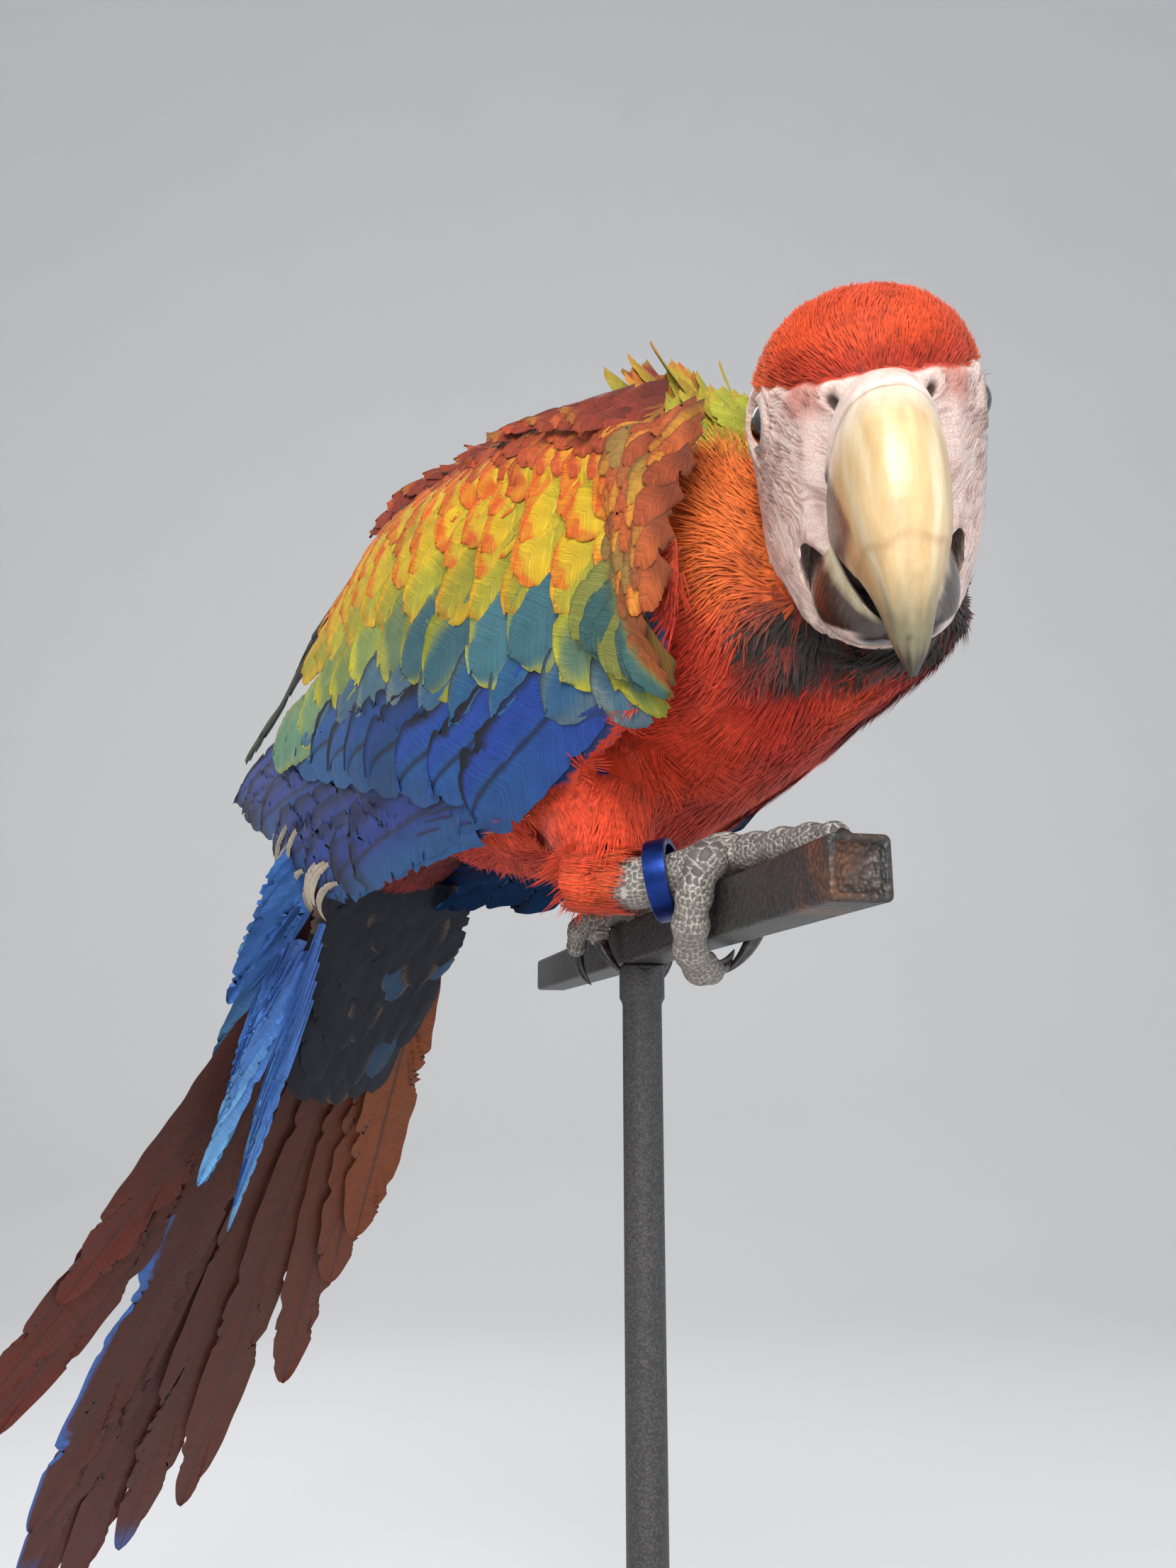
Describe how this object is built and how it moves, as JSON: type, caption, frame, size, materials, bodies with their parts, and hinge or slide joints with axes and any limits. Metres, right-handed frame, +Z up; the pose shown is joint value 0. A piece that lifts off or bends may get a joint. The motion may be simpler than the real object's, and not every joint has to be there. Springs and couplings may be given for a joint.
{
  "type": "scarlet macaw figure",
  "caption": "Life-size scarlet macaw that grips a short square bar, with folded wings, a long pointed tail and a leg ring, on a plain display stand.",
  "frame": {"origin": "middle of the underside of the stand's base, under the figure's centre of mass", "axes": "+Z up, -Y ahead of the bird's body, +X to the bird's left"},
  "size_m": [0.24, 0.6232, 0.5665],
  "materials": {
    "head_feathers": "fine red feathers",
    "neck_feathers": "fine red and orange feathers",
    "red_feathers": "red body feathers",
    "ivory_horn": "ivory-coloured horn, polished",
    "brown_horn": "dark brown horn, glossy",
    "dark_eye": "wet dark eye",
    "yellow_coverts": "yellow feathers with orange tips",
    "blue_secondaries": "blue flight feathers",
    "violet_blue_primaries": "violet-blue flight feathers",
    "maroon_tail": "maroon tail feathers",
    "thigh_feathers": "red-orange thigh feathers",
    "grey_scales": "grey scaled skin",
    "black_claw": "black horn",
    "azure_coverts": "azure tail coverts",
    "dark_undertail": "dark blue undertail coverts",
    "blue_anodised": "blue anodised",
    "powder_coat": "dark grey-brown wrinkled powder coat",
    "stand_steel": "matt dark grey paint"
  },
  "bodies": {
    "root": {"head": "head_feathers", "neck": "neck_feathers", "trunk": "red_feathers", "beak_upper": "ivory_horn", "beak_lower": "brown_horn", "eye_right": "dark_eye", "eye_left": "dark_eye", "wing_right": "yellow_coverts", "wing_right_secondaries": "blue_secondaries", "wing_right_primaries": "violet_blue_primaries", "tail_right_1": "maroon_tail", "tail_right_2": "maroon_tail", "tail_right_3": "maroon_tail", "tail_right_4": "maroon_tail", "tail_right_5": "maroon_tail", "tail_right_6": "maroon_tail", "thigh_right": "thigh_feathers", "foot_right": "grey_scales", "claw_right_1": "black_claw", "claw_right_2": "black_claw", "claw_right_3": "black_claw", "claw_right_4": "black_claw", "wing_left": "yellow_coverts", "wing_left_secondaries": "blue_secondaries", "wing_left_primaries": "violet_blue_primaries", "tail_left_1": "maroon_tail", "tail_left_2": "maroon_tail", "tail_left_3": "maroon_tail", "tail_left_4": "maroon_tail", "tail_left_5": "maroon_tail", "tail_left_6": "maroon_tail", "thigh_left": "thigh_feathers", "foot_left": "grey_scales", "claw_left_1": "black_claw", "claw_left_2": "black_claw", "claw_left_3": "black_claw", "claw_left_4": "black_claw", "tail_coverts": "azure_coverts", "undertail_coverts": "dark_undertail", "leg_ring": "blue_anodised", "perch_bar": "powder_coat", "stand_base": "stand_steel", "stand_rod": "stand_steel"}
  },
  "joints": []
}
